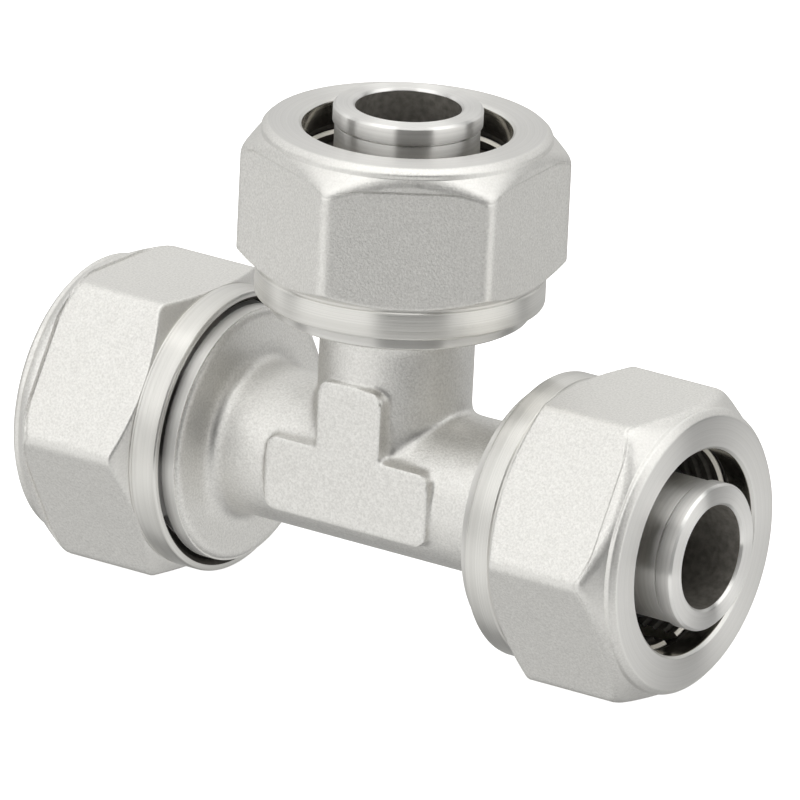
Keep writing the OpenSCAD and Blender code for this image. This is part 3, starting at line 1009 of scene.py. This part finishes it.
# %% [markdown]
# ## Floor and light
#
# Metal shows what is round it, so the light is drawn as a whole studio: a white table below, a
# soft box on each side, soft light above, a greyer backdrop, and the dark room in the gaps
# between the boxes, which gives the turned bands their streaks. The world carries it as a
# pattern of directions. The floor that is seen is a plain white sheet which the metal doesn't
# reflect, as the studio's table is already in the world.

# %% Floor
start_clean()
bpy.ops.mesh.primitive_plane_add(size=6, location=(0, 0, floor_level - 0.02 * MM))
floor = bpy.context.object
floor.name = "floor"
floor_material, floor_tree, floor_shader = new_material("pale_floor")
floor_shader.inputs["Base Color"].default_value = (0.9, 0.9, 0.9, 1)
floor_shader.inputs["Roughness"].default_value = 1.0
floor_shader.inputs["Emission Color"].default_value = (1, 1, 1, 1)
floor_shader.inputs["Emission Strength"].default_value = 0.75
dress(floor, floor_material)
floor.visible_glossy = False
floor.visible_shadow = False
print("floor at", round(floor_level / MM, 2), "mm")

# %% Helpers for the studio light
world = bpy.data.worlds.new("studio")
bpy.context.scene.world = world
world.use_nodes = True
studio = world.node_tree


def calculate(operation, first, second=None):
    node = add(studio, "ShaderNodeMath", operation=operation)
    for value, socket in ((first, node.inputs[0]), (second, node.inputs[1])):
        if isinstance(value, (int, float)):
            socket.default_value = value
        elif value is not None:
            studio.links.new(value, socket)
    return node.outputs[0]


def ramp(value, low, high):
    node = add(studio, "ShaderNodeMapRange", interpolation_type="SMOOTHSTEP")
    node.inputs["From Min"].default_value, node.inputs["From Max"].default_value = low, high
    studio.links.new(value, node.inputs["Value"])
    return node.outputs["Result"]


def band(value, low, high, soft=3):
    rising, falling = ramp(value, low - soft, low + soft), ramp(value, high - soft, high + soft)
    return calculate("MULTIPLY", rising, calculate("SUBTRACT", 1, falling))


print("world:", world.name)

# %% Studio light
direction = add(studio, "ShaderNodeVectorRotate", rotation_type="Z_AXIS", Angle=-azimuth)
studio.links.new(add(studio, "ShaderNodeTexCoord").outputs["Generated"], direction.inputs["Vector"])
parts = add(studio, "ShaderNodeSeparateXYZ")
studio.links.new(direction.outputs[0], parts.inputs[0])
bearing = calculate("MULTIPLY", 180 / math.pi, calculate(
    "ARCTAN2", parts.outputs["X"], calculate("MULTIPLY", -1, parts.outputs["Y"])))
height = calculate("MULTIPLY", 180 / math.pi, calculate("ARCSINE", parts.outputs["Z"]))

# Brightness of the table, rising to the horizon, then of the soft light above
brightness = calculate("ADD", 0.66, calculate("MULTIPLY", 0.30, ramp(height, -62, -22)))
brightness = calculate("ADD", brightness, calculate("MULTIPLY", 0.32, ramp(height, 5, 30)))
brightness = calculate("ADD", brightness, calculate("MULTIPLY", 0.30, ramp(height, 45, 70)))
backdrop = calculate("SUBTRACT", 1, band(bearing, -118, 110, 8))
brightness = calculate("SUBTRACT", brightness, calculate("MULTIPLY", 0.41, backdrop))
# Lowest and highest height, left and right bearing in degrees, and the change of brightness
# there: three dark gaps between the soft boxes, and the two boxes
patches = [(-18, 50, -18, 40, -0.97), (-12, 60, -102, -86, -0.90), (-12, 50, 100, 118, -0.90),
           (8, 60, -86, -18, 0.12), (8, 60, 40, 100, 0.12)]
for low, high, left_end, right_end, change in patches:
    patch = calculate("MULTIPLY", band(height, low, high, 2), band(bearing, left_end, right_end, 2))
    brightness = calculate("MULTIPLY", brightness, calculate("ADD", 1, calculate("MULTIPLY", change, patch)))
studio.links.new(brightness, studio.nodes["Background"].inputs["Strength"])
studio.nodes["Background"].inputs["Color"].default_value = (1, 1, 0.985, 1)
print("studio:", len(patches), "patches,", len(studio.nodes), "nodes")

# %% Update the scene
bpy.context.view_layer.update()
